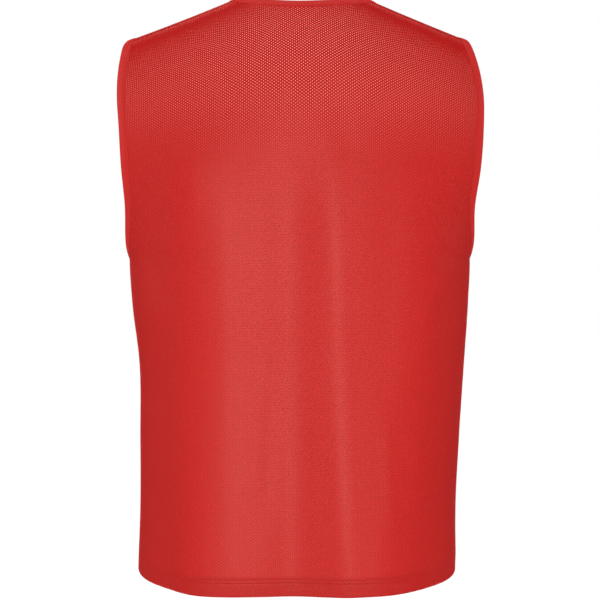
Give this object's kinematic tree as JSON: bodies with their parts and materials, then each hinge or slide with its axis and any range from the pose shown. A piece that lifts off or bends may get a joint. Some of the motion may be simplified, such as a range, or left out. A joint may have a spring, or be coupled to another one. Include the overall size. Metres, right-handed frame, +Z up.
{
  "type": "training bib",
  "caption": "Sleeveless mesh bib for team training, filled out as it is worn, with bound neck and armholes and a turned-up hem.",
  "frame": {"origin": "between the wearer's shoulders, level with the highest point of the neck edge", "axes": "+Z up; +Y towards the front, so the pictured back faces -Y; +X towards the wearer's right"},
  "size_m": [0.4256, 0.2801, 0.6906],
  "materials": {
    "mesh_cloth": "matt knitted polyester mesh, red",
    "band_cloth": "matt plain-knit polyester strip, red"
  },
  "bodies": {
    "root": {"back_panel": "mesh_cloth", "front_panel": "mesh_cloth", "back_hem": "mesh_cloth", "front_hem": "mesh_cloth", "neck_band": "band_cloth", "armhole_band_left": "band_cloth", "armhole_band_right": "band_cloth"}
  },
  "joints": []
}
